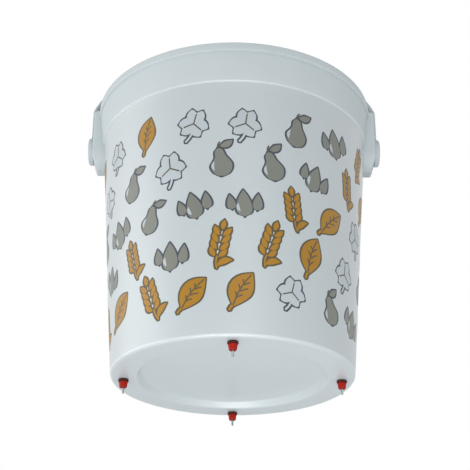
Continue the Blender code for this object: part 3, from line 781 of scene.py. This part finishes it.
def nippleBody(name, centre):
    # a closed turned profile; the stem's outside carries a thread, whose depth is a triangle wave of
    # height over pitch minus the angle's share of a turn
    n, bends = nipple, nipple["bends"]
    mouth = n["bore"] - n["mouthStep"]
    topStep, topDrop = n["coneTop"]
    bulgeStep, bulgeRise = n["coneBulge"]
    inside = [
        (mouth, n["bottom"], 0),
        (mouth, n["bottom"] + n["lip"], 0),
        (n["bore"], n["bottom"] + n["lip"], 0),
        (n["bore"], n["seatLow"], 0),
        (n["seatHole"], n["seatLow"], 0),
        (n["seatHole"], n["seatHigh"], 0),
        (n["bore"], n["seatRim"], 0),
        (n["bore"], n["stemTop"], 0),
    ]
    outside = [
        (n["stem"], n["stemTop"], bends["stem"]),
        (n["stem"], n["top"], 0),
        (n["shoulder"], n["top"], bends["shoulder"]),
        (n["shoulder"], n["top"] - n["collarHeight"], bends["collar"]),
        (n["shoulder"] + topStep, n["top"] + topDrop, bends["coneTop"]),
        (n["tip"] + bulgeStep, n["bottom"] + bulgeRise, bends["bulge"]),
        (n["tip"] + n["coneFoot"], n["bottom"], bends["foot"]),
        (mouth, n["bottom"], 0),
    ]
    outline = roundedProfile(inside + outside, n["arcSteps"])[:-1]
    outline = denser(np.vstack((outline, outline[:1])), n["profileStep"])[:-1]
    low, high, fade = n["top"] + n["threadEnd"], n["stemTop"] - n["threadEnd"], n["threadFade"]

    def thread(angle, z, r):
        onStem = np.abs(r - n["stem"]) < n["onStem"]
        onStem = onStem * smoothstep((z - low) / fade) * smoothstep((high - z) / fade)
        phase = (z / n["threadPitch"] - angle / (2 * np.pi)) % 1
        wave = np.abs(2 * phase - 1)
        return r - onStem * n["threadDepth"] * (1 - np.clip(n["threadCrest"] * wave, 0, 1))

    return turnedPiece(name, outline, n["steps"], centre, 0.0, thread)


def turnedRing(name, sizes, centre):
    # a ring's section is a rectangle with rounded corners, from the middle of its inner side and back.
    # The seal is squeezed between the shoulder and the base, so its outer side bulges in a large bend
    low, high = sizes["low"], sizes["high"]
    radii = (sizes["inner"], sizes["outer"], sizes["outer"], sizes["inner"])
    join = (sizes["inner"], sizes["join"], 0)
    corners = [join, *zip(radii, (low, low, high, high), sizes["bends"]), join]
    outline = roundedProfile(corners, sizes["arcSteps"])[:-1]
    return turnedPiece(name, outline, sizes["steps"], centre)


def hexNut(name, centre, turn):
    # radius = flat over cos(angle from the nearest flat's middle), capped by a chamfer cone at both ends
    flat, low, high, chamfer = nut["flat"], nut["low"], nut["high"], nut["boreChamfer"]
    bore = nipple["stem"] + nut["play"]
    face = flat * nut["faceShare"]
    corner = flat / math.cos(math.pi / 6)
    band, end = nut["coneBand"], nut["sideEnd"]
    zs = np.concatenate((low + np.linspace(0, band, 8), np.linspace(low + end, high - end, 6),
                         high - np.linspace(band, 0, 8)))
    outer = np.stack((np.full(len(zs), corner), zs), axis=1)
    inner = [(bore + chamfer, high), (bore, high - chamfer), (bore, low + chamfer), (bore + chamfer, low)]
    outline = np.vstack((outer, [(face, high)], inner, [(face, low)]))

    def sides(angle, z, r):
        fromFlat = (angle + np.pi / 6) % (np.pi / 3) - np.pi / 6
        across = flat / np.cos(fromFlat)
        edge = np.minimum(z - low, high - z)
        cone = flat * nut["coneShare"] + edge * nut["coneSlope"]
        return np.where(r > flat * nut["outsideShare"], np.minimum(across, cone), r)

    return turnedPiece(name, outline, nut["steps"], centre, turn, sides, nut["sharp"])


def triggerPin(name, centre):
    # stud, round head, shank and a rounded tip, with a fine turned groove above the tip
    head, headZ, shank, stud = pin["head"], pin["headZ"], pin["shank"], pin["stud"]
    neck = shank - pin["grooveDepth"]
    grooveRadii = (shank, neck, neck, shank)
    down = math.acos(shank / head)
    up = math.acos(stud / head)
    headArc = np.linspace(up, -down, 24)
    tip = np.linspace(0, -np.pi / 2, 14)[:-1]
    outline = np.vstack((
        [(0.0, pin["studTop"]), (pin["studFace"], pin["studTop"]), (stud, pin["studEdge"])],
        np.stack((head * np.cos(headArc), headZ + head * np.sin(headArc)), axis=1),
        np.stack((grooveRadii, pin["groove"]), axis=1),
        np.stack((shank * np.cos(tip), shank + shank * np.sin(tip)), axis=1),
        [(0.0, 0.0)],
    ))
    return turnedPiece(name, outline, pin["steps"], centre)


def valveBall(name, centre):
    # a half circle from pole to pole, turned
    turn = np.linspace(np.pi / 2, -np.pi / 2, 33)
    outline = np.stack((ball["radius"] * np.cos(turn), ball["z"] + ball["radius"] * np.sin(turn)), axis=1)
    outline[[0, -1], 0] = 0
    return turnedPiece(name, outline, ball["steps"], centre)


for number in range(1, 5):
    angle = -math.pi / 2 + (number - 1) * math.pi / 2
    centre = (nippleCircle * math.cos(angle), nippleCircle * math.sin(angle))
    made = (
        (nippleBody(f"nipple_body_{number}_fine", centre), nippleRed, "bucket", "nipple", "nipple_body"),
        (turnedRing(f"seal_{number}_fine", seal, centre), sealRubber, "bucket", "seal", "seal_washer"),
        (hexNut(f"nut_{number}_fine", centre, angle), nutRed, "bucket", "nipple", "lock_nut"),
        (turnedRing(f"bush_{number}_fine", bush, centre), turnedSteel, "bucket", "steel", "valve_bush"),
        (triggerPin(f"pin_{number}_fine", centre), turnedSteel, f"trigger_{number}", "steel", "trigger_pin"),
        (valveBall(f"ball_{number}_fine", centre), turnedSteel, f"valve_{number}", "steel", "valve_ball"),
    )
    for piece, material, body, slot, node in made:
        dress(piece, material, body, slot, f"{node}_{number}")
    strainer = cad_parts[f"inlet_strainer_{number}"]
    strainer.data.materials.clear()
    strainer.data.materials.append(strainerWhite)
print("nipples made")

# The printed pattern: leaves, grain, drops, clover and pears as thin closed films of ink on the wall

ink = {
    "columns": 17,
    "rows": 5,
    "lowZ": 0.066,
    "pitchZ": 0.0475,
    "line": 0.0021,
    "vein": 1.25,
    "scale": 1.2,
    "scaleMean": 0.97,
    "scaleSwing": 0.06,
    "lean": 0.30,
    "lift": 0.003,
    "start": 0.08,
    "endShare": 0.35,
    "acrossStep": 0.0035,
    "under": 0.00006,
    "outlineFilm": 0.00005,
    "fillFilm": 0.00009,
    "detailFilm": 0.00013,
}


def strokeGrid(spine, halfWidth, grow):
    # a stroke is a spine (n x 2) with a half width at each station; growing it widens and lengthens it
    spine = np.asarray(spine, float)
    ahead = np.gradient(spine, axis=0)
    ahead /= np.linalg.norm(ahead, axis=1)[:, None]
    side = np.stack((-ahead[:, 1], ahead[:, 0]), axis=1)
    wide = halfWidth + grow
    if grow:
        spine = np.vstack((spine[0] - ahead[0] * grow, spine, spine[-1] + ahead[-1] * grow))
        side = np.vstack((side[:1], side, side[-1:]))
        end = [grow * ink["endShare"]]
        wide = np.concatenate((end, wide, end))
    columns = max(2, math.ceil(2 * wide.max() / ink["acrossStep"]) + 1)
    across = np.linspace(-1, 1, columns)
    return spine[:, None, :] + side[:, None, :] * (wide[:, None] * across[None, :])[..., None]


def filmOnWall(grid, angle, z, film):
    # the flat grid (u round the wall, v up it) is laid on the wall twice, just inside it and just
    # outside, and the two layers are joined round their edge
    height = z + grid[..., 1]
    reach = wallRadius(height)
    turn = angle + grid[..., 0] / wallRadius(z)
    layers = []
    for depth in (film, -ink["under"]):
        r = reach + depth
        layers.append(np.stack((r * np.cos(turn), r * np.sin(turn), height), axis=-1))
    rows, columns = turn.shape
    ring = np.concatenate((layers[0], layers[1][:, ::-1]), axis=1)
    points = ring.reshape(-1, 3)
    faces = [gridFaces(rows, 2 * columns, False, True)]
    j = np.arange(columns - 1)
    for row in (0, rows - 1):
        base = row * 2 * columns
        quads = np.stack((j, j + 1, 2 * columns - 2 - j, 2 * columns - 1 - j), axis=-1) + base
        faces.append(quads if row == 0 else quads[:, ::-1])
    return points, np.vstack(faces)


def leaf(x, y, length, width, tilt, curve=0.0, stations=13, power=0.8):
    # half width = width/2 times sin(pi t) to a power, along a spine bent into a shallow arc
    t = np.linspace(0, 1, stations)
    along = length * t
    bow = curve * length * np.sin(np.pi * t)
    spine = np.stack((x + along * math.sin(tilt) + bow * math.cos(tilt),
                      y + along * math.cos(tilt) - bow * math.sin(tilt)), axis=1)
    half = width / 2 * np.sin(np.pi * np.clip(t, 0.012, 0.988)) ** power
    return spine, half


def drop(x, y, length, width, tilt=0.0, stations=15):
    # round at the foot, pointed at the top: half width = a circle's below, a cosine's above
    t = np.linspace(0.0, 1, stations)
    radius = width / 2
    split = radius / length
    low = radius * np.sqrt(np.clip(1 - ((split - t) / split) ** 2, 0.0004, 1))
    high = radius * np.cos(np.pi / 2 * np.clip((t - split) / (1 - split), 0, 0.985)) ** 0.85
    spine = np.stack((x + length * t * math.sin(tilt), y + length * t * math.cos(tilt)), axis=1)
    return spine, np.where(t < split, low, high)


def bar(x0, y0, x1, y1, width, curve=0.0, stations=7):
    # a line of even width, bowed to one side
    t = np.linspace(0, 1, stations)
    run = np.array((x1 - x0, y1 - y0))
    side = np.array((-run[1], run[0])) * curve
    spine = np.array((x0, y0)) + t[:, None] * run + np.sin(np.pi * t)[:, None] * side
    return spine, np.full(stations, width / 2)


# Each motif is a list of (layer colour, stroke); sizes in millimetres, about its own middle
def oneLeaf():
    blade = [leaf(-9, -15, 34, 21, 0.5, -0.06, 17), bar(-13, -19, -8, -13, 2.2, 0.1)]
    veins = [bar(-9.5, -14.5, 6.5, 14, ink["vein"], 0.06, 9)]
    for share, reach in ((0.25, 6.0), (0.45, 7.5), (0.65, 6.0)):
        px, py = -9.5 + 16 * share, -14.5 + 28.5 * share
        veins.append(bar(px - 1, py, px + reach - 1.5, py + 2.5, ink["vein"], 0.05, 5))
        veins.append(bar(px - 1, py, px - reach * 0.35, py + reach * 0.9, ink["vein"], -0.05, 5))
    return [("ochre", stroke) for stroke in blade] + [("line", stroke) for stroke in veins]


def grainEar():
    strokes = [bar(2.2, -20, 0.3, -9, 1.5, 0.08), leaf(2, -18, 14, 5.5, 1.0, -0.14, 9)]
    for k in range(4):
        for side in (1, -1):
            strokes.append(leaf(1.6 * side, -9.5 + 6.4 * k, 9.4, 4.6, 0.62 * side, 0.06 * side, 9, 0.7))
    strokes.append(leaf(0, 15, 8.6, 4.6, 0.0, 0.0, 9, 0.7))
    return [("ochre", stroke) for stroke in strokes]


def threeDrops():
    strokes = [("grey", drop(-1, -16, 27, 15.5)), ("grey", drop(-12.5, -8, 15, 8.5, -0.12)),
               ("grey", drop(11.5, -10, 17, 9.5, 0.12))]
    strokes.append(("white", leaf(-5, -11, 9, 3.2, -0.15, -0.14, 9)))
    return strokes


def cloverLeaf():
    strokes = [("white", bar(0.5, -4, -3, -19, 2.0, 0.12, 9))]
    for tilt in (0.0, 2 * math.pi / 3, -2 * math.pi / 3):
        for side in (-1, 1):
            strokes.append(("white", leaf(0, 0, 14.5, 10.5, tilt + side * 0.36, side * 0.05, 13, 0.62)))
        strokes.append(("line", bar(0, 0, 10 * math.sin(tilt), 10 * math.cos(tilt), ink["vein"], 0.0, 5)))
    return strokes


def pear():
    # below its widest level half an ellipse, above it a narrowing neck that closes in another
    t = np.linspace(0, 1, 19)
    y = -16 + 27 * t
    body = 9.6 * np.sqrt(np.clip(1 - ((t - 0.36) / 0.375) ** 2, 0.0, 1)) * (t < 0.36)
    neck = 9.6 - 5.4 * smoothstep((t - 0.36) / 0.42)
    neck = neck * np.sqrt(np.clip(1 - (np.clip(t - 0.78, 0, 1) / 0.222) ** 2, 0.004, 1))
    half = np.maximum(np.where(t < 0.36, body, neck), 0.5)
    return [("grey", (np.stack((1.5 * np.sin(3 * t), y), axis=1), half)),
            ("line", bar(0.5, 11, 3, 17, 1.6, 0.15)), ("grey", leaf(2.5, 13, 12, 6, 1.25, 0.1)),
            ("white", leaf(-5.5, -10, 9, 2.6, 0.1, -0.16, 9))]


motifs = [oneLeaf, threeDrops, cloverLeaf, grainEar, pear]
coolMotifs = (1, 2, 4)  # the ones with a bluish outline
layers = {"outlineWarm": [], "outlineCool": [], "ochre": [], "grey": [], "white": [], "line": []}
for column in range(ink["columns"]):
    for row in range(ink["rows"]):
        kind = (column * 2 + row * 3 + (column // 5)) % len(motifs)
        # every other row is half a step round; sines of column and row vary the lean, height and size
        angle = 2 * math.pi * (column + 0.5 * (row % 2)) / ink["columns"] - math.pi / 2 + ink["start"]
        lean = ink["lean"] * math.sin(2.4 * column + 1.7 * row)
        z = ink["lowZ"] + ink["pitchZ"] * row + ink["lift"] * math.sin(1.9 * column + row)
        size = ink["scale"] * (ink["scaleMean"] + ink["scaleSwing"] * math.sin(5.1 * column + 2.3 * row))
        turnBy = np.array(((math.cos(lean), -math.sin(lean)), (math.sin(lean), math.cos(lean))))
        strokes = motifs[kind]()
        outlineLayer = "outlineCool" if kind in coolMotifs else "outlineWarm"
        for colour, (spine, half) in strokes:
            spine = spine @ turnBy * size * 0.001
            half = np.asarray(half) * size * 0.001
            shine = colour == "white" and motifs[kind] is not cloverLeaf
            detail = colour == "line" or shine  # veins and shines lie on top and have no outline
            if not detail:
                wide = strokeGrid(spine, half, ink["line"])
                layers[outlineLayer].append(filmOnWall(wide, angle, z, ink["outlineFilm"]))
            film = ink["detailFilm"] if detail else ink["fillFilm"]
            layers[colour].append(filmOnWall(strokeGrid(spine, half, 0.0), angle, z, film))


inkColours = {
    "outlineWarm": (0.085, 0.066, 0.03),
    "outlineCool": (0.045, 0.052, 0.07),
    "ochre": (0.37, 0.178, 0.005),
    "grey": (0.19, 0.20, 0.17),
    "white": (0.47, 0.525, 0.545),
    "line": (0.085, 0.068, 0.035),
}
for colour, films in layers.items():
    counts = np.cumsum([0] + [len(points) for points, _ in films])
    points = np.vstack([points for points, _ in films])
    faces = np.vstack([quads + start for (_, quads), start in zip(films, counts)])
    piece = meshFromArrays(f"print_{colour}", points, [faces])
    film = plasticMaterial(f"ink_{colour}", inkColours[colour], 0.46, cloud=0.16, grainSize=1400,
                           grainDepth=0.2, waveDepth=0.15, dust=0.0, scratch=0.1, coat=0.4,
                           coatRoughness=0.43, specular=0.3)
    dress(piece, film, "bucket", "bucket")
    print("print", colour, len(faces), "faces")

# Floor, light and camera

stage = {
    "floorZ": -1.6,
    "floorHalf": 14.0,
    "floorShade": 0.9,
    "floorMottle": 0.02,
    "worldLevel": 0.58,
    "worldColor": (0.93, 0.96, 1.0, 1),
    "cameraPlace": (0.0, -1.198, -0.3883),
    "cameraPitch": 25.95,
    "cameraRoll": 0.35,
    "lens": 87.03,
    "shift": 0.0032,
}
lamps = {  # place, what it points at, width, height, power
    "key_light": ((0.5, -2.5, 0.4), (0, 0, 0.2), 1.3, 1.3, 6.5),
    "low_light": ((-0.1, -1.0, -0.83), (0, 0, 0.03), 1.2, 0.5, 6.5),
    "side_light": ((-2.4, -0.05, 0.3), (0, 0, 0.2), 2.6, 2.2, 24.0),
    "base_light": ((0.1, -1.0, -0.83), (0, 0, 0.03), 2.6, 0.5, 3.5),
}


def floorMaterial():
    # a matt pale floor with the faint mottling of paint on screed: noise spread evenly about its shade
    material, tree, shader = newMaterial("paleFloor")
    shader.inputs["Roughness"].default_value = 0.9
    mottle = addNode(tree, "ShaderNodeTexNoise", Scale=3.0, Detail=3.0)
    tree.links.new(addNode(tree, "ShaderNodeTexCoord").outputs["Object"], mottle.inputs["Vector"])
    spread = mathNode(tree, "MULTIPLY", mottle.outputs["Fac"], stage["floorMottle"])
    shade = mathNode(tree, "ADD", spread, stage["floorShade"] - stage["floorMottle"] / 2)
    color = tree.nodes.new("ShaderNodeCombineColor")
    for channel in color.inputs:
        tree.links.new(shade, channel)
    tree.links.new(color.outputs[0], shader.inputs["Base Color"])
    return material


mesh = bpy.data.meshes.new("pale_floor")
half, low = stage["floorHalf"], stage["floorZ"]
corners = [(-half, -half, low), (half, -half, low), (half, half, low), (-half, half, low)]
mesh.from_pydata(corners, [], [(0, 1, 2, 3)])
floor = bpy.data.objects.new("pale_floor", mesh)
addObject(floor)
floor.data.materials.append(floorMaterial())

for name, (place, target, width, height, power) in lamps.items():
    lamp = bpy.data.lights.new(name, "AREA")
    lamp.shape = "ELLIPSE"
    lamp.size = width
    lamp.size_y = height
    lamp.energy = power
    holder = bpy.data.objects.new(name, lamp)
    holder.location = place
    holder.rotation_euler = (Vector(target) - Vector(place)).to_track_quat("-Z", "Y").to_euler()
    holder.visible_camera = False
    addObject(holder)

world = bpy.data.worlds.new("softWorld")
bpy.context.scene.world = world
world.use_nodes = True
tree = world.node_tree
background = tree.nodes["Background"]
path = tree.nodes.new("ShaderNodeLightPath")
seen = mathNode(tree, "MAXIMUM", path.outputs["Is Camera Ray"], path.outputs["Is Glossy Ray"])
seen = mathNode(tree, "MAXIMUM", seen, path.outputs["Is Transmission Ray"])
pale = addNode(tree, "ShaderNodeBackground", Color=(1, 1, 1, 1), Strength=1.0)
setInputs(background, {"Color": stage["worldColor"], "Strength": stage["worldLevel"]})
mix = tree.nodes.new("ShaderNodeMixShader")
tree.links.new(seen, mix.inputs[0])
tree.links.new(background.outputs[0], mix.inputs[1])
tree.links.new(pale.outputs[0], mix.inputs[2])
tree.links.new(mix.outputs[0], tree.nodes["World Output"].inputs["Surface"])

bpy.context.scene.view_settings.view_transform = "Standard"

cameraData = bpy.data.cameras.new("camera")
cameraData.sensor_width = 36.0
cameraData.lens = stage["lens"]
cameraData.shift_x = stage["shift"]
camera = bpy.data.objects.new("camera", cameraData)
camera.location = stage["cameraPlace"]
tilt = Matrix.Rotation(math.radians(90 + stage["cameraPitch"]), 4, "X")
camera.rotation_euler = (tilt @ Matrix.Rotation(math.radians(stage["cameraRoll"]), 4, "Z")).to_euler()
addObject(camera)
bpy.context.scene.camera = camera
print("stage ready")
